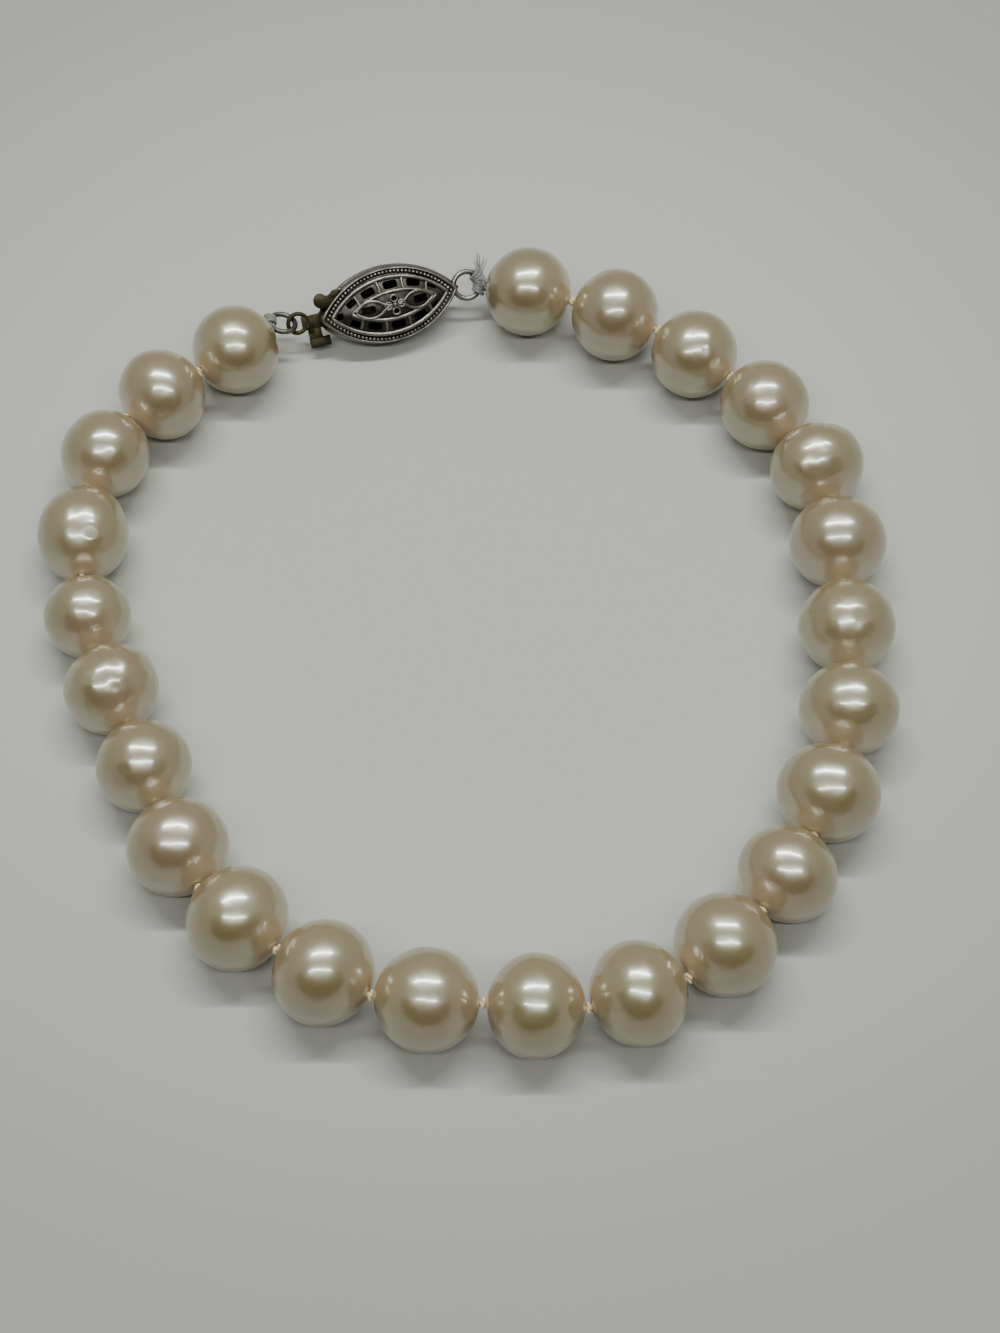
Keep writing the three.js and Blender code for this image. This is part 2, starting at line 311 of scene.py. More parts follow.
def plate(bm, outline, low, high, corner=0.1, ease=0.05):
    """A flat plate of this outline between two heights, its corners rounded and its edges eased."""
    sheet = bmesh.new()
    sheet.faces.new([sheet.verts.new((u, v, low)) for u, v in outline])
    if corner:
        eased(sheet, sheet.verts[:], corner, "VERTICES", 3)
    grown = bmesh.ops.extrude_face_region(sheet, geom=sheet.faces[:])["geom"]
    raised = [item for item in grown if isinstance(item, bmesh.types.BMVert)]
    bmesh.ops.translate(sheet, verts=raised, vec=(0, 0, high - low))
    if ease:
        level = [edge for edge in sheet.edges if abs(edge.verts[0].co.z - edge.verts[1].co.z) < SAME]
        eased(sheet, level, ease)
    bmesh.ops.recalc_face_normals(sheet, faces=sheet.faces)
    made = bpy.data.meshes.new("plate")
    sheet.to_mesh(made)
    sheet.free()
    merged(bm, made)


def block(bm, u, v, w, ease=0.04):
    """A rectangular block between pairs of limits, with eased edges."""
    plate(bm, [(u[0], v[0]), (u[1], v[0]), (u[1], v[1]), (u[0], v[1])], w[0], w[1], 0, ease)


def spun(bm, profile, axis, steps):
    """Turns a closed profile of points once round an axis through the origin."""
    verts = [bm.verts.new(co) for co in profile]
    edges = [bm.edges.new(pair) for pair in zip(verts, verts[1:])]
    edges.append(bm.edges.new((verts[-1], verts[0])))
    bmesh.ops.spin(
        bm, geom=verts + edges, cent=(0, 0, 0), axis=axis, angle=math.tau, steps=steps, use_merge=True)
    bmesh.ops.remove_doubles(bm, verts=bm.verts, dist=WELD)


# ------------------------------------------------------------------ materials


def nacre(name, tone, settings):
    """Nacre of a cultured pearl, grown in thin clear layers over a shell bead and polished: a cream body
    that light sinks into, a soft glow from the layers below, and a sharp gloss from the skin on top."""
    material, tree = new_material(name)
    place = add(tree, "ShaderNodeTexCoord").outputs["Object"]
    # Overtones change slowly, over about half a pearl, and the growth marks are some 0.6 mm long.
    swell = add(tree, "ShaderNodeTexNoise", [(place, "Vector")], {"Scale": 1 / (5 * MM), "Detail": 2.0})
    body = add(tree, "ShaderNodeValToRGB", [(swell.outputs["Fac"], "Fac")])
    stops = body.color_ramp.elements
    stops[0].position = 0.36
    stops[0].color = linear(settings.green)
    stops[1].position = 0.64
    stops[1].color = linear(settings.rose)
    stops.new(0.5).color = linear(tone)
    # A lighter colour on the sides that face each other and the sheet stands in for passed light.
    shelter = add(tree, "ShaderNodeAmbientOcclusion", inputs={"Distance": 5 * MM}, samples=4)
    painted_fill_share = add(
        tree, "ShaderNodeMapRange", [(shelter.outputs["AO"], "Value")],
        {"From Min": 0.25, "From Max": 0.92, "To Min": 1.0, "To Max": 0.0})
    depth = add(
        tree, "ShaderNodeMix", [(painted_fill_share.outputs["Result"], 0), (body.outputs["Color"], 6)],
        {7: linear(settings.fill)}, data_type="RGBA")
    growth = add(tree, "ShaderNodeTexNoise", [(place, "Vector")], {"Scale": 1 / (0.6 * MM), "Detail": 4.0})
    bump = add(
        tree, "ShaderNodeBump", [(growth.outputs["Fac"], "Height")],
        {"Strength": 0.12, "Distance": 0.02 * MM})
    shader = add(
        tree, "ShaderNodeBsdfPrincipled",
        [(depth.outputs[2], "Base Color"), (bump.outputs["Normal"], "Normal")],
        {
            "Roughness": settings.glow, "IOR": 2.02,
            "Specular IOR Level": 1.0, "Specular Tint": linear("#F4F6EA"),
            "Subsurface Weight": 0.9, "Subsurface Scale": settings.depth * MM,
            "Subsurface Radius": (1.0, 0.9, 0.7),
            "Coat Weight": 1.0, "Coat Tint": linear("#FEFCF8"),
            "Coat Roughness": settings.luster, "Coat IOR": 1.78,
        })
    finished(tree, shader)
    return material


def silk(name, colour):
    """Twisted silk thread: dull, slightly fuzzy, and shaded light and dark by its plies."""
    material, tree = new_material(name)
    place = add(tree, "ShaderNodeTexCoord").outputs["Object"]
    plies = add(
        tree, "ShaderNodeTexWave", [(place, "Vector")],
        {"Scale": 1 / (0.8 * MM), "Distortion": 3.0, "Detail": 2.0},
        wave_type="BANDS", bands_direction="DIAGONAL")
    shade = add(
        tree, "ShaderNodeMix", [(plies.outputs["Fac"], 0)],
        {6: dimmed(colour, 0.7), 7: linear(colour)}, data_type="RGBA")
    bump = add(
        tree, "ShaderNodeBump", [(plies.outputs["Fac"], "Height")], {"Strength": 0.5, "Distance": 0.03 * MM})
    shader = add(
        tree, "ShaderNodeBsdfPrincipled",
        [(shade.outputs[2], "Base Color"), (bump.outputs["Normal"], "Normal")],
        {"Roughness": 0.75, "Sheen Weight": 0.4, "Sheen Roughness": 0.4, "IOR": 1.5})
    finished(tree, shader)
    return material


def tarnished_metal(name, bright, dark, recess, rough):
    """Polished silver, then worn: bright where it is handled, sulphide-dark in hollows narrower than the
    recess, in mm, and finely scratched."""
    material, tree = new_material(name)
    place = add(tree, "ShaderNodeTexCoord").outputs["Object"]
    cloud = add(
        tree, "ShaderNodeTexNoise", [(place, "Vector")],
        {"Scale": 1 / (0.9 * MM), "Detail": 5.0, "Roughness": 0.65})
    grain = add(tree, "ShaderNodeTexNoise", [(place, "Vector")], {"Scale": 1 / (0.12 * MM), "Detail": 3.0})
    # A long recess also darkens metal lying close to other parts: painted shade beside the tarnish in
    # hollows.
    open_to_air_and_light = add(tree, "ShaderNodeAmbientOcclusion", inputs={"Distance": recess * MM}, samples=8)
    worn = add(
        tree, "ShaderNodeMapRange", [(open_to_air_and_light.outputs["AO"], "Value")],
        {"From Min": 0.25, "From Max": 0.85})
    patchy = add(
        tree, "ShaderNodeMapRange", [(cloud.outputs["Fac"], "Value")],
        {"From Min": 0.35, "From Max": 0.6, "To Min": 0.45, "To Max": 1.0})
    wear = add(
        tree, "ShaderNodeMath", [(worn.outputs["Result"], 0), (patchy.outputs["Result"], 1)],
        operation="MULTIPLY")
    colour = add(
        tree, "ShaderNodeMix", [(wear.outputs[0], 0)], {6: linear(dark), 7: linear(bright)},
        data_type="RGBA")
    gloss = add(
        tree, "ShaderNodeMapRange", [(wear.outputs[0], "Value")],
        {"To Min": min(1.0, rough + 0.3), "To Max": rough})
    bump = add(
        tree, "ShaderNodeBump", [(grain.outputs["Fac"], "Height")], {"Strength": 0.25, "Distance": 0.02 * MM})
    shader = add(
        tree, "ShaderNodeBsdfPrincipled",
        [(colour.outputs[2], "Base Color"), (gloss.outputs["Result"], "Roughness"),
         (bump.outputs["Normal"], "Normal")],
        {"Metallic": 1.0})
    finished(tree, shader)
    return material


def sheet_paper(name, colour):
    """The pale matt sheet that the bracelet lies on."""
    material, tree = new_material(name)
    place = add(tree, "ShaderNodeTexCoord").outputs["Object"]
    fibres = add(tree, "ShaderNodeTexNoise", [(place, "Vector")], {"Scale": 1 / (2 * MM), "Detail": 3.0})
    bump = add(
        tree, "ShaderNodeBump", [(fibres.outputs["Fac"], "Height")],
        {"Strength": 0.05, "Distance": 0.05 * MM})
    # The sheet's colour darkens outwards from the bracelet; it is painted, not made by the lights.
    away = add(
        tree, "ShaderNodeVectorMath", [(place, 0)], {1: (0, 12 * MM, 0)}, operation="DISTANCE")
    shade = add(
        tree, "ShaderNodeMapRange", [(away.outputs["Value"], "Value")],
        {"From Min": 30 * MM, "From Max": 68 * MM}, interpolation_type="SMOOTHSTEP")
    tone = add(
        tree, "ShaderNodeMix", [(shade.outputs["Result"], 0)],
        {6: linear(colour), 7: dimmed(colour, 0.74)}, data_type="RGBA")
    shader = add(
        tree, "ShaderNodeBsdfPrincipled",
        [(bump.outputs["Normal"], "Normal"), (tone.outputs[2], "Base Color")],
        {"Roughness": 0.8, "Specular IOR Level": 0.2})
    finished(tree, shader)
    return material


# ------------------------------------------------------------------ pearls

# What sets each pearl apart: its number, the kind of mark, where it is (azimuth from the front, towards
# the right, and elevation, in degrees), its angular size in degrees and its depth in mm. A dent is a soft
# hollow, a blister a round pit with a raised rim, and a ring a groove all round, with this as its pole.
MARKS = [
    {"pearl": 2, "kind": "dent", "azimuth": 10, "elevation": 33, "size": 7, "depth": 0.05},
    {"pearl": 3, "kind": "dent", "azimuth": -112, "elevation": 50, "size": 26, "depth": 0.18},
    {"pearl": 3, "kind": "dent", "azimuth": -128, "elevation": 34, "size": 7, "depth": 0.09},
    {"pearl": 4, "kind": "blister", "azimuth": 30, "elevation": 56, "size": 7, "depth": 0.05},
    {"pearl": 4, "kind": "ring", "azimuth": 97, "elevation": 0, "size": 7, "depth": 0.05},
    {"pearl": 5, "kind": "ring", "azimuth": 95, "elevation": 0, "size": 7, "depth": 0.04},
    {"pearl": 6, "kind": "dent", "azimuth": -23, "elevation": 75, "size": 9, "depth": 0.04},
    {"pearl": 6, "kind": "dent", "azimuth": 19, "elevation": 63, "size": 8, "depth": 0.04},
    {"pearl": 6, "kind": "dent", "azimuth": 80, "elevation": 72, "size": 8, "depth": 0.04},
    {"pearl": 7, "kind": "dent", "azimuth": -34, "elevation": 37, "size": 4, "depth": 0.05},
    {"pearl": 7, "kind": "dent", "azimuth": -27, "elevation": 52, "size": 4, "depth": 0.04},
    {"pearl": 8, "kind": "dent", "azimuth": -24, "elevation": 22, "size": 6, "depth": 0.05},
    {"pearl": 13, "kind": "dent", "azimuth": -147, "elevation": 68, "size": 7, "depth": 0.04},
    {"pearl": 16, "kind": "ring", "azimuth": 87, "elevation": 0, "size": 6, "depth": 0.03},
    {"pearl": 18, "kind": "dent", "azimuth": 25, "elevation": 63, "size": 9, "depth": 0.03},
    {"pearl": 18, "kind": "dent", "azimuth": -25, "elevation": 63, "size": 9, "depth": 0.03},
    {"pearl": 20, "kind": "ring", "azimuth": 75, "elevation": 0, "size": 6, "depth": 0.04},
    {"pearl": 22, "kind": "dent", "azimuth": 21, "elevation": 57, "size": 7, "depth": 0.05},
]
LUMPY = {4: 1.3, 5: 1.6, 6: 2.6, 18: 1.8, 20: 2.0}  # how many times wavier than the rest these pearls are
SWELL = 0.02  # the most that a swell may stand out, as a share of the radius
TONES = [0, 1, 0, 2, 0, 1, 0, 1, 0, 0, 0, 2, 0, 1, 0, 0, 2, 0, 1, 0, 2, 0, 1, 0]  # cream, rose or green


def mark_depth(kind, angle, size, depth):
    """How far a mark sinks the nacre at this angle from its middle; a negative depth raises it."""
    t = angle / size
    if kind == "blister":
        return depth * (math.exp(-t ** 4) - 0.5 * math.exp(-((t - 1.4) * 3) ** 2))
    if kind == "ring":
        return depth * math.exp(-((angle - 90) / size) ** 2)
    return depth * math.exp(-t * t)


def direction(azimuth, elevation):
    """A unit vector; azimuth 0 faces the front and grows towards the right."""
    a, e = math.radians(azimuth), math.radians(elevation)
    return Vector((math.sin(a) * math.cos(e), -math.cos(a) * math.cos(e), math.sin(e)))


def pearl_profile(pearl, rings, hole):
    """Half of a pearl's section in its own axes, X along the thread, with the hole's wall."""
    across, along = pearl["across"] / 2, pearl["along"] / 2
    first = math.asin(hole / across)
    angles = [first + (math.pi - 2 * first) * i / rings for i in range(rings + 1)]
    outside = [Vector((-math.cos(a) * along, math.sin(a) * across, 0)) for a in angles]
    lead = 0.06 * MM  # the hole's edge is eased by the drill
    inside = [outside[-1] + Vector((-lead, -lead, 0)), outside[0] + Vector((lead, -lead, 0))]
    return outside + inside


class BRACELET_OT_pearls(bpy.types.Operator):
    """String the drilled pearls, each with its own swells and marks"""

    bl_idname = "bracelet.pearls"
    bl_label = "Pearls"

    def execute(self, context):
        settings = context.scene.bracelet_pearls
        tones = [
            nacre("nacre_cream", settings.cream, settings),
            nacre("nacre_rose", settings.rose, settings),
            nacre("nacre_green", settings.green, settings),
        ]
        for number, pearl in enumerate(PEARLS, 1):
            self.make(number, pearl, settings, tones[TONES[number - 1]])
        return {"FINISHED"}

    def make(self, number, pearl, settings, material):
        """One pearl: turned about its thread, then waved and marked point by point."""
        bm = bmesh.new()
        spun(bm, pearl_profile(pearl, settings.rings, settings.hole * MM), (1, 0, 0), settings.sides)
        turn = Matrix.Rotation(math.atan2(pearl["way"].y, pearl["way"].x), 4, "Z")
        bmesh.ops.transform(bm, matrix=turn, verts=bm.verts)
        marks = [mark for mark in MARKS if mark["pearl"] == number]
        radius = pearl["across"] / 2
        waves = settings.waviness * radius * LUMPY.get(number, 1.0)
        for vert in bm.verts:
            out = vert.co.normalized()
            seed = Vector((number * 7.3, number * 3.1, 0))
            shift = waves * (
                noise.noise(out * 1.8 + seed) + 0.4 * noise.noise(out * 5.0 + seed)
                + 0.1 * noise.noise(out * 12.0 + seed))
            for mark in marks:
                at = direction(mark["azimuth"], mark["elevation"])
                angle = math.degrees(out.angle(at))
                shift -= mark_depth(mark["kind"], angle, mark["size"], mark["depth"]) * MM
            vert.co += out * min(shift, SWELL * radius)
            vert.co.z = max(vert.co.z, -pearl["middle"].z)  # nothing goes through the sheet
        mesh = mesh_from(bm, f"nacre_{number:02d}", Matrix.Translation(pearl["middle"]))
        piece(f"bead_{number:02d}", mesh, [material], [pearl["name"]])


# ------------------------------------------------------------------ thread

RUN = 0.2  # radius of the thread inside the pearls
WRAP = 0.42  # radius of a turn of silk round a ring's wire
STOUT = 0.15  # radius of the silk in such a turn
LEG = 0.14  # and of the silk that runs from it to the pearl
HAIR = 0.02  # and of a loose fibre


def bore_end(pearl, side):
    """The middle of a pearl's hole, on its far side (1) or its near side (-1)."""
    return pearl["middle"] + pearl["way"] * (side * pearl["along"] / 2)


def overhand(middle, way, size, ply, turn):
    """An overhand knot pulled tight, as a closed route square to the thread."""
    place = Matrix.Translation(middle) @ way.to_track_quat("Z", "Y").to_matrix().to_4x4()
    place = place @ Matrix.Rotation(turn, 4, "Z")
    reach = (size - ply) / 3
    steps = 36
    route = []
    for i in range(steps):
        t = math.tau * i / steps
        ring = 2 + math.cos(3 * t)
        flat = (ring * math.cos(2 * t) * reach, ring * math.sin(2 * t) * reach)
        route.append(place @ Vector((*flat, math.sin(3 * t) * reach * 0.6)))
    return route


class BRACELET_OT_thread(bpy.types.Operator):
    """Knot the silk between the pearls, loop it to the rings and fray its loose end"""

    bl_idname = "bracelet.thread"
    bl_label = "Thread"

    def execute(self, context):
        settings = context.scene.bracelet_thread
        cream = silk("silk_cream", settings.silk)
        worn = silk("silk_worn", settings.worn)
        self.strung(settings, cream)
        self.loops(settings, worn)
        self.tail(settings, worn)
        return {"FINISHED"}

    def strung(self, settings, cream):
        """A straight run through each pearl and a knot in each gap."""
        knots, runs = [], []
        for number, (this, after) in enumerate(zip(PEARLS, PEARLS[1:])):
            a, b = bore_end(this, 1), bore_end(after, -1)
            middle, way = (a + b) / 2, (this["way"] + after["way"]).normalized()
            knots.append(overhand(middle, way, settings.knot * MM, settings.ply * MM, number * 2.4))
        for pearl in PEARLS:
            runs.append([bore_end(pearl, -1.02), pearl["middle"], bore_end(pearl, 1.02)])
        bm = bmesh.new()
        merged(bm, tubes("knots", knots, settings.ply * MM))
        merged(bm, tubes("runs", runs, RUN * MM, closed=False))
        piece("silk_thread", mesh_from(bm, "silk_thread"), [cream], ["thread"])

    def loops(self, settings, worn):
        """Each end is wrapped over its ring several times before it goes back to the pearl."""
        bm = bmesh.new()
        for ring in RINGS:
            end = bore_end(ring["pearl"], ring["side"])
            routes = []
            for turn in ring["turns"]:
                t = math.radians(turn)
                out = ring["out"] * math.cos(t) + ring["way"] * math.sin(t)
                way = ring["way"] * math.cos(t) - ring["out"] * math.sin(t)
                hold = ring["middle"] + out * ring["radius"] * MM
                merged(bm, tubes("turn", [circle(hold, way, WRAP * MM, 28)], STOUT * MM))
                start = hold + (end - hold).normalized() * WRAP * MM
                routes.append([start, start.lerp(end, 0.6), end + (end - start).normalized() * 0.1 * MM])
            merged(bm, tubes("legs", routes, LEG * MM, closed=False))
            toward = (end - ring["middle"]).normalized()
            knot = overhand(end - toward * 0.15 * MM, toward, settings.knot * MM, settings.ply * MM, 1.0)
            merged(bm, tubes("knot", [knot], settings.ply * MM))
        piece("silk_loops", mesh_from(bm, "silk_loops"), [worn], ["thread"])

    def tail(self, settings, worn):
        """The cut end of the silk has come apart into loose fibres beside the right ring."""
        chance = random.Random(7)
        ring = RINGS[1]
        hold = ring["middle"] + ring["out"] * ring["radius"] * MM
        routes = []
        for _ in range(settings.hairs):
            reach = chance.uniform(0.9, 2.1)
            lean = Vector((chance.gauss(-0.08, 0.11), 1.0, chance.gauss(0.3, 0.1)))
            bend = Vector((chance.gauss(0, 0.3), 0, chance.gauss(0, 0.15)))
            start = hold + Vector((chance.gauss(0, 0.12), 0.35, chance.gauss(0.1, 0.1))) * MM
            routes.append([start + (lean * t * reach + bend * t * t) * MM for t in (0, 0.25, 0.5, 0.75, 1)])
        mesh = tubes("silk_tail", routes, HAIR * MM, closed=False, sides=1, smooth=True)
        piece("silk_tail", mesh, [worn], ["thread"])


# ------------------------------------------------------------------ rings

SOLDERED = {"middle": (6.45, 0, 0), "radius": 1.05, "wire": 0.21}  # on the box, in the clasp's own axes
JUMP = {"radius": 1.02, "wire": 0.21, "tilt": 12}  # in the tongue's eye, tipped by this many degrees twice
JUMP_SEAM = {"at": 70, "gap": 3}  # where its two ends meet, and half the gap between them, in degrees


def read_jump_ring():
    """Middle of the loose ring and the turn that lays it tipped through the tongue's eye."""
    low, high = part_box("end_ring")
    tilt = math.radians(JUMP["tilt"])
    return (low + high) / 2, Matrix.Rotation(tilt, 3, "Y") @ Matrix.Rotation(-tilt, 3, "X")


JUMP_MIDDLE, JUMP_TURN = read_jump_ring()
# How the silk holds each ring: outwards from the ring's middle, along its wire there, and the turns' places
# round the ring in degrees.
RINGS = [
    {
        "middle": JUMP_MIDDLE, "radius": JUMP["radius"],
        "out": -JUMP_TURN.col[0], "way": JUMP_TURN.col[1].copy(),
        "pearl": PEARLS[0], "side": -1, "turns": (-16, 0, 16),
    },
    {
        "middle": CLASP @ Vector(SOLDERED["middle"]), "radius": SOLDERED["radius"],
        "out": CLASP.to_3x3().col[0].normalized(), "way": CLASP.to_3x3().col[1].normalized(),
        "pearl": PEARLS[-1], "side": 1, "turns": (-42, -28, -14, 0, 14, 28, 42),
    },
]


# ------------------------------------------------------------------ clasp

FLANGE = {"a": 5.9, "b": 3.05}  # half length and half width of the box at its flange
TOP_SHELL = {"a": 5.6, "b": 2.9}  # and of the top shell's edge
DOME = {"rim": 1.0, "apex": 1.72, "reach": 0.8}  # the pierced dome rises inside this share of the edge
CHANNEL = {"a": 4.98, "b": 2.575, "height": 0.96}  # middle of the channel that the border beads lie in
CORE = 0.001  # a spun section stops this short of its axis


def marquise_reach(angle, a, b):
    """How far the edge of a marquise is from its middle: two arcs that meet in points."""
    arc = (a * a + b * b) / (2 * b)
    drop = arc - b
    return math.sqrt(arc * arc - (drop * math.cos(angle)) ** 2) - drop * abs(math.sin(angle))


def marquise(a, b, count, height=None, lift=0.0):
    """Points evenly spread round a marquise, lying on the dome or at a given height."""
    steps = 720
    fine = [math.tau * i / steps for i in range(steps + 1)]
    edge = [Vector((math.cos(t), math.sin(t), 0)) * marquise_reach(t, a, b) for t in fine]
    lengths = np.concatenate(([0], np.cumsum([(q - p).length for p, q in zip(edge, edge[1:])])))
    spots = np.linspace(0, lengths[-1], count, endpoint=False)
    us = np.interp(spots, lengths, [p.x for p in edge])
    vs = np.interp(spots, lengths, [p.y for p in edge])
    return [Vector((u, v, dome(u, v) + lift if height is None else height)) for u, v in zip(us, vs)]


def dome(u, v):
    """Height of the pierced face above the clasp's middle."""
    share = math.hypot(u, v) / marquise_reach(math.atan2(v, u), **TOP_SHELL) / DOME["reach"]
    return DOME["rim"] + (DOME["apex"] - DOME["rim"]) * max(0.0, 1 - share * share)


def marquise_band(section, a, b):
    """A closed half section, measured across the clasp, turned once and drawn out into the marquise."""
    bm = bmesh.new()
    spun(bm, [Vector((r, 0, w)) for r, w in section], (0, 0, 1), 128)
    for vert in bm.verts:
        stretch = marquise_reach(math.atan2(vert.co.y, vert.co.x), a, b) / b
        vert.co.x *= stretch
        vert.co.y *= stretch
    bmesh.ops.recalc_face_normals(bm, faces=bm.faces)
    return bm


def boolean(mesh, cutters):
    """The mesh less the cutters, solved exactly."""
    target = bpy.data.objects.new("target", mesh)
    tool = bpy.data.objects.new("tool", cutters)
    for obj in (target, tool):
        bpy.context.scene.collection.objects.link(obj)
    cut = target.modifiers.new("windows", "BOOLEAN")
    cut.operation = "DIFFERENCE"
    cut.solver = "EXACT"
    cut.object = tool
    made = bpy.data.meshes.new_from_object(target.evaluated_get(bpy.context.evaluated_depsgraph_get()))
    for obj in (target, tool):
        bpy.data.objects.remove(obj)
    bpy.data.meshes.remove(mesh)
    bpy.data.meshes.remove(cutters)
    if not made.polygons:
        raise RuntimeError("The cut left nothing of the metal")
    return made


def hugging(points, lift=0.0):
    """Points laid on the dome, raised by a little."""
    return [Vector((u + PATTERN_MIDDLE, v, dome(u + PATTERN_MIDDLE, v) + lift)) for u, v in points]


LIP = 0.84  # below this the inside of the box is near-black: tarnish darkened further as painted shade
SHEET = 0.28  # thickness of the pierced dome
# Where the tongue enters the box and where the lever's thumb piece comes out, as limits along u, v and w.
OPENINGS = [((-7.0, -3.6), (-0.8, 0.8), (-0.88, -0.3)), ((-5.9, -3.3), (0.35, 3.5), (-0.5, 0.72))]
# Windows of the pierced dome in one quarter, from the pattern's middle: place, size and turn in degrees.
WINDOWS = [
    (0, 1.58, 1.15, 0.62, 0), (1.85, 1.32, 1.1, 0.6, -16), (3.3, 0.8, 0.8, 0.5, -28), (4.35, 0, 0.55, 0.5, 0),
    (2.1, 0, 1.1, 0.6, 0), (0.62, 0, 0.42, 0.42, 45), (0, 0.55, 0.42, 0.42, 45), (1.15, 0.42, 0.5, 0.3, 24),
]
PATTERN_MIDDLE = 0.3
SCROLL = [(-3.1, 0.05), (-2.6, 0.5), (-1.9, 0.72), (-1.2, 0.5), (-0.75, 0.12), (-0.3, 0.0)]
TIES = [[(0.95, 1.1), (0.9, 1.6), (1.05, 1.95)], [(2.7, 0.45), (2.75, 0.85), (2.95, 1.25)]]
PETALS = [(0.52, 0), (-0.52, 0), (0, 0.5), (0, -0.5)]


def four_ways(points):
    """A route and its mirror images in both axes of the pattern."""
    return [[(u * p, v * q) for u, v in points] for p in (1, -1) for q in (1, -1)]


class BRACELET_OT_clasp(bpy.types.Operator):
    """Make the clasp's box: shell, pierced dome, filigree wires, border beads and soldered ring"""

    bl_idname = "bracelet.clasp"
    bl_label = "Clasp box"

    def execute(self, context):
        settings = context.scene.bracelet_clasp
        silver = tarnished_metal("silver_worn", settings.silver, settings.patina, recess=0.45, rough=0.28)
        # Near-black inside: tarnish darkened further as painted shade for the hollow seen through the
        # windows.
        shaded_inside = tarnished_metal("silver_inside_shade", settings.patina, "#0B0A09", recess=1.5, rough=0.6)
        self.shell(silver, shaded_inside)
        sooty = tarnished_metal("silver_sooty", settings.soot, "#11100E", recess=0.6, rough=0.4)
        self.pierced(sooty, shaded_inside)
        self.filigree(settings, silver)
        self.beading(settings, silver)
        return {"FINISHED"}

    def shell(self, silver, shaded_inside):
        """From the inner lip over the bead channel, down the flange and the plain back, and up inside."""
        outside = [
            (2.3, 0.78), (2.32, 0.95), (2.36, 0.99), (2.41, 0.95), (2.45, 0.86), (2.7, 0.86),
            (2.74, 0.94), (2.8, 0.99), (2.86, 0.95), (2.88, 0.85), (2.87, -0.36), (2.98, -0.43),
            (3.05, -0.52), (3.05, -0.82), (2.98, -0.92), (2.8, -1.0), (2.25, -1.1), (1.8, -1.3),
            (1.3, -1.5), (0.7, -1.68), (CORE, -1.75),
        ]
        inside = [(CORE, -1.45), (1.2, -1.22), (2.1, -0.85), (2.5, -0.8), (2.52, 0.7)]
        bm = marquise_band(outside + inside, **FLANGE)
        # Faces inside the box below the lip take the near-black silver, painted shade over the tarnish.
        for face in bm.faces:
            middle = face.calc_center_median()
            edge = marquise_reach(math.atan2(middle.y, middle.x), **FLANGE)
            within = math.hypot(middle.x, middle.y) < 0.9 * edge
            face.material_index = int(within and middle.z < LIP and face.normal.z > -0.01)
        cut = mesh_from(bm, "clasp_shell")
        cut.materials.append(silver)
        cut.materials.append(shaded_inside)
        for u, v, w in OPENINGS:
            opening = bmesh.new()
            block(opening, u, v, w, 0)
            cut = boolean(cut, mesh_from(opening, "opening"))
        cut.transform(CLASP)
        piece("clasp_shell", cut, [silver, shaded_inside], ["clasp_box"])

    def pierced(self, sooty, shaded_inside):
        """The pierced dome, one stamped sheet with its windows sawn out."""
        reach = TOP_SHELL["b"]
        rings = 12
        rs = [CORE] + [reach * 0.815 * i / rings for i in range(1, rings + 1)]
        over = [(r, dome(r * TOP_SHELL["a"] / reach, 0)) for r in rs]
        bm = marquise_band(over[::-1] + [(r, w - SHEET) for r, w in over], TOP_SHELL["a"], reach)
        # The dome's underside takes the near-black silver, painted shade over the tarnish.
        for face in bm.faces:
            face.material_index = int(face.normal.z < 0.1)
        sheet = mesh_from(bm, "sheet")
        sheet.materials.append(sooty)
        sheet.materials.append(shaded_inside)
        tools = bmesh.new()
        for u, v, long, wide, turn in WINDOWS:
            for p, q in {(p if u else 1, q if v else 1) for p in (1, -1) for q in (1, -1)}:
                t = math.radians(turn) * p * q
                corners = [(long / 2 * i, wide / 2 * j) for i, j in ((-1, -1), (1, -1), (1, 1), (-1, 1))]
                outline = [
                    (PATTERN_MIDDLE + u * p + x * math.cos(t) - y * math.sin(t),
                     v * q + x * math.sin(t) + y * math.cos(t)) for x, y in corners]
                plate(tools, outline, 0.3, 2.4, wide * 0.3, 0)
        cut = boolean(sheet, mesh_from(tools, "tools"))
        cut.transform(CLASP)
        obj = piece("clasp_dome", cut, [sooty, shaded_inside], ["clasp_box"])
        edge = obj.modifiers.new("eased", "BEVEL")
        edge.width = 0.03 * MM
        edge.segments = 2
        edge.limit_method = "ANGLE"
        edge.angle_limit = math.radians(50)

    def filigree(self, settings, silver):
        """Drawn wires soldered on: a frame, a leaf inside it, four scrolls and a floret of rings."""
        wire = settings.wire
        bm = bmesh.new()
        merged(bm, tubes("frame", [marquise(4.66, 2.16, 120, lift=0.05)], wire))
        merged(bm, tubes("leaf", [hugging(p.xy for p in marquise(3.45, 1.06, 90))], wire * 0.85))
        scrolls = [hugging(route, 0.05) for route in four_ways(SCROLL)]
        ties = [hugging(route) for tie in TIES for route in four_ways(tie)]
        merged(bm, tubes("scrolls", scrolls + ties, wire * 0.7, closed=False, smooth=True))
        for petal in PETALS:
            middle = hugging([petal], 0.06)[0]
            merged(bm, tubes("petal", [circle(middle, (0, 0, 1), 0.27, 24)], wire * 0.55))
        ball = Matrix.Translation(hugging([(0, 0)], 0.1)[0])
        bmesh.ops.create_icosphere(bm, subdivisions=3, radius=0.2, matrix=ball)
        ring = circle(SOLDERED["middle"], (0, 0, 1), SOLDERED["radius"], 64)
        merged(bm, tubes("soldered_ring", [ring], SOLDERED["wire"], sides=6))
        piece("clasp_filigree", mesh_from(bm, "clasp_filigree", CLASP), [silver], ["clasp_box"])

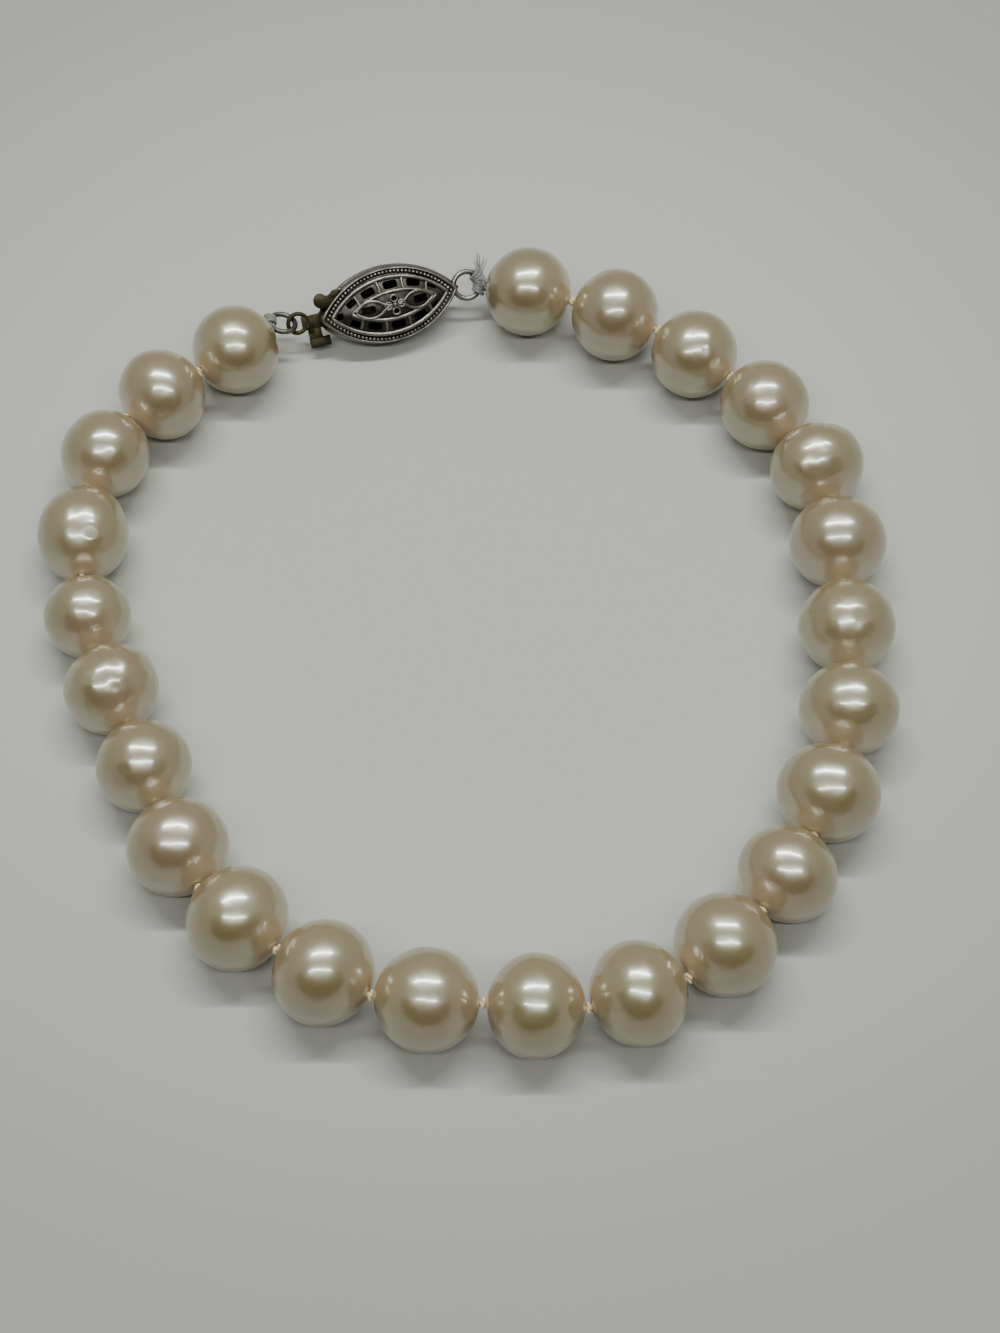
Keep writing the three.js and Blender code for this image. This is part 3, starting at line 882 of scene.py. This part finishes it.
    def beading(self, settings, silver):
        """A row of beads in the channel round the top."""
        bm = bmesh.new()
        for spot in marquise(count=76, **CHANNEL):
            place = Matrix.Translation(spot)
            bmesh.ops.create_icosphere(bm, subdivisions=2, radius=settings.bead, matrix=place)
        piece("clasp_beads", mesh_from(bm, "clasp_beads", CLASP), [silver], ["clasp_box"])


STRIP = 0.55  # half the width of the tongue's strip
LOWER = (-0.7, -0.45)  # from which height to which its lower leaf lies
UPPER = (0.15, 0.4)  # and its upper leaf


class BRACELET_OT_tongue(bpy.types.Operator):
    """Bend the spring tongue with its hook and its lever, and hang the loose ring in its eye"""

    bl_idname = "bracelet.tongue"
    bl_label = "Tongue and ring"

    def execute(self, context):
        settings = context.scene.bracelet_clasp
        # The tongue's long recess darkens it where it lies close to the box: painted shade beside its
        # tarnish.
        tarnish = tarnished_metal("silver_tarnished", settings.tarnish, "#12110E", recess=1.4, rough=0.45)
        grey = tarnished_metal("silver_dull", settings.dull, settings.patina, recess=0.5, rough=0.34)
        self.hook(tarnish)
        self.lever(tarnish)
        self.ring(grey)
        return {"FINISHED"}

    def hook(self, tarnish):
        """The strip's lower leaf with its stop, the fold at one end and the rolled eye at the other."""
        bm = bmesh.new()
        across = (-STRIP, STRIP)
        block(bm, (-6.9, FOLD_U), across, LOWER)
        block(bm, (FOLD_U - 0.4, FOLD_U), across, UPPER)
        # The stop stands beside the mouth, on a short arm of the strip.
        block(bm, (-6.55, -4.95), (-2.05, -1.3), (-0.9, -0.35), 0.09)
        block(bm, (-6.55, -5.5), (-1.85, -0.5), LOWER)
        block(bm, (-6.55, -6.0), (-0.9, 0), LOWER)
        # The fold is half a turn of the strip's own section.
        corners = [(-STRIP, UPPER[0]), (STRIP, UPPER[0]), (STRIP, UPPER[1]), (-STRIP, UPPER[1])]
        section = [bm.verts.new((FOLD_U, v, w)) for v, w in corners]
        edges = [bm.edges.new((a, b)) for a, b in zip(section, section[1:] + section[:1])]
        bmesh.ops.spin(
            bm, geom=section + edges, cent=(FOLD_U, 0, FOLD_W), axis=(0, 1, 0), angle=math.pi, steps=12)
        # The strip's narrow end is rolled round once and a little more to make the eye.
        curl = []
        last = 39
        for i in range(last + 1):
            t = math.radians(-35 + 400 * i / last)
            reach = 0.86 - 0.22 * i / last
            curl.append(Vector((-7.22 + reach * math.cos(t), 0.1 + reach * math.sin(t), -0.575)))
        merged(bm, tubes("eye", [curl], 0.17, closed=False, sides=4))
        piece("hook_strip", mesh_from(bm, "hook_strip", CLASP), [tarnish], ["hook"])

    def lever(self, tarnish):
        """The strip's upper leaf, its elbow and its thumb piece of two lobes."""
        outline = [
            (2.2, -STRIP), (2.2, STRIP), (-2.3, STRIP), (-2.9, 0.8), (-3.3, 1.25), (-3.35, 1.75),
            (-3.55, 2.08), (-4.05, 2.14), (-4.42, 1.82), (-4.72, 1.8), (-4.95, 2.08), (-5.38, 2.1),
            (-5.72, 1.75), (-5.72, 1.25), (-5.35, 0.9), (-4.85, 0.82), (-4.3, 0.4), (-3.35, -0.35),
            (-2.8, -STRIP),
        ]
        bm = bmesh.new()
        plate(bm, outline, *UPPER, 0.14, 0.05)
        level = sum(UPPER) / 2
        for vert in bm.verts:
            if vert.co.x < -3.4:  # the thumb piece is beaten thicker
                vert.co.z = level + (vert.co.z - level) * 1.6
        piece("lever_tab", mesh_from(bm, "lever_tab", CLASP), [tarnish], ["lever"], LEVER)

    def ring(self, grey):
        """The loose ring, a turn of wire whose ends are not soldered."""
        gap = math.radians(JUMP_SEAM["gap"])
        start = math.radians(JUMP_SEAM["at"]) + gap
        route = circle(JUMP_MIDDLE, JUMP_TURN.col[2], JUMP["radius"] * MM, 64, start, math.tau - 2 * gap)
        mesh = tubes("jump_ring", [route], JUMP["wire"] * MM, closed=False, sides=5)
        piece("jump_ring", mesh, [grey], ["end_ring"])


# ------------------------------------------------------------------ stage


class BRACELET_OT_stage(bpy.types.Operator):
    """Lay the pale sheet and set the lights and the camera"""

    bl_idname = "bracelet.stage"
    bl_label = "Stage"

    def execute(self, context):
        settings = context.scene.bracelet_stage
        aim = Vector(settings.aim)
        self.floor(settings)
        self.lights(settings, aim)
        self.camera(context, settings, aim)
        self.world(context, settings)
        return {"FINISHED"}

    def floor(self, settings):
        """A level sheet that runs out of sight on every side."""
        bm = bmesh.new()
        bmesh.ops.create_grid(bm, x_segments=2, y_segments=2, size=4)
        mesh = mesh_from(bm, "sheet")
        mesh.materials.append(sheet_paper("paper_sheet", settings.floor))
        sheet = bpy.data.objects.new("sheet", mesh)
        bpy.context.scene.collection.objects.link(sheet)

    def lights(self, settings, aim):
        """Two long tubes overhead, one beyond the bracelet and one on the near side."""
        hung = [("tube_far", 74, 0.05, settings.tube_far), ("tube_near", 116, 0.03, settings.tube_near)]
        for name, turned, wide, power in hung:
            data = bpy.data.lights.new(name, "AREA")
            data.shape = "RECTANGLE"
            data.size = 0.95
            data.size_y = wide
            data.energy = power
            data.color = linear("#FBFFFF")[:3]
            light = bpy.data.objects.new(name, data)
            out = Vector((0, math.cos(math.radians(turned)), math.sin(math.radians(turned))))
            light.location = aim + out
            light.rotation_euler = out.to_track_quat("Z", "Y").to_euler()
            light.visible_camera = False
            bpy.context.scene.collection.objects.link(light)

    def camera(self, context, settings, aim):
        """A camera in front of the bracelet that looks down at it."""
        data = bpy.data.cameras.new("camera")
        data.lens = settings.lens
        data.clip_start = 0.01
        camera = bpy.data.objects.new("camera", data)
        back = direction(0, math.degrees(settings.elevation))
        camera.location = aim + back * settings.distance
        camera.rotation_euler = back.to_track_quat("Z", "Y").to_euler()
        context.scene.collection.objects.link(camera)
        context.scene.camera = camera

    def world(self, context, settings):
        """A pale room, brightest round the tubes and dark where the viewer stands."""
        world = bpy.data.worlds.new("room")
        world.use_nodes = True
        tree = world.node_tree
        tree.nodes.clear()
        way = add(tree, "ShaderNodeTexCoord").outputs["Generated"]
        room = None
        for middle, reach, gain in ROOM:
            near = add(
                tree, "ShaderNodeMapping", [(way, "Vector")], {"Location": middle, "Scale": reach},
                vector_type="TEXTURE")
            far = add(tree, "ShaderNodeVectorMath", [(near.outputs[0], 0)], operation="LENGTH")
            patch = add(
                tree, "ShaderNodeMapRange", [(far.outputs["Value"], "Value")],
                {"From Min": 0.82, "From Max": 1.18, "To Min": gain, "To Max": 1.0},
                interpolation_type="SMOOTHSTEP")
            links = [(patch.outputs["Result"], 0)] + ([(room.outputs[0], 1)] if room else [])
            room = add(
                tree, "ShaderNodeMath", links, None if room else {1: settings.ambient}, operation="MULTIPLY")
        shade = add(
            tree, "ShaderNodeBackground", [(room.outputs[0], "Strength")], {"Color": linear("#F1F1EA")})
        add(tree, "ShaderNodeOutputWorld", [(shade.outputs["Background"], "Surface")])
        context.scene.world = world


# Patches of the room as seen from the bracelet, on a sphere of radius one: the middle, the
# reach along X, Y and Z, and how many times brighter than the walls it is.
ROOM = [
    ((0, 0.12, 0.98), (0.66, 0.64, 0.8), 1.2),
    ((0, -0.87, 0.49), (1.0, 1.0, 0.38), 0.0),
]


# ------------------------------------------------------------------ add-on


class BRACELET_PT_panel(bpy.types.Panel):
    """The bracelet's sizes and colours, and a button for each operator"""

    bl_idname = "BRACELET_PT_panel"
    bl_label = "Pearl bracelet"
    bl_space_type = "VIEW_3D"
    bl_region_type = "UI"
    bl_category = "Bracelet"

    def draw(self, context):
        for group, operators in PANEL_ROWS:
            box = self.layout.box()
            settings = getattr(context.scene, group)
            for name in settings.bl_rna.properties.keys():
                if name not in ("rna_type", "name"):
                    box.prop(settings, name)
            for operator in operators:
                box.operator(operator)


GROUPS = {
    "bracelet_pearls": PearlSettings,
    "bracelet_thread": ThreadSettings,
    "bracelet_clasp": ClaspSettings,
    "bracelet_stage": StageSettings,
}
PANEL_ROWS = [
    ("bracelet_pearls", ["bracelet.pearls"]),
    ("bracelet_thread", ["bracelet.thread"]),
    ("bracelet_clasp", ["bracelet.clasp", "bracelet.tongue"]),
    ("bracelet_stage", ["bracelet.stage"]),
]
CLASSES = [
    *GROUPS.values(), BRACELET_OT_pearls, BRACELET_OT_thread, BRACELET_OT_clasp, BRACELET_OT_tongue,
    BRACELET_OT_stage, BRACELET_PT_panel,
]


def register():
    for cls in CLASSES:
        bpy.utils.register_class(cls)
    for name, group in GROUPS.items():
        setattr(bpy.types.Scene, name, PointerProperty(type=group))


def unregister():
    for name in GROUPS:
        delattr(bpy.types.Scene, name)
    for cls in reversed(CLASSES):
        bpy.utils.unregister_class(cls)


def main():
    register()
    bpy.ops.bracelet.stage()
    bpy.ops.bracelet.pearls()
    bpy.ops.bracelet.thread()
    bpy.ops.bracelet.clasp()
    bpy.ops.bracelet.tongue()


if __name__ == "__main__":
    main()
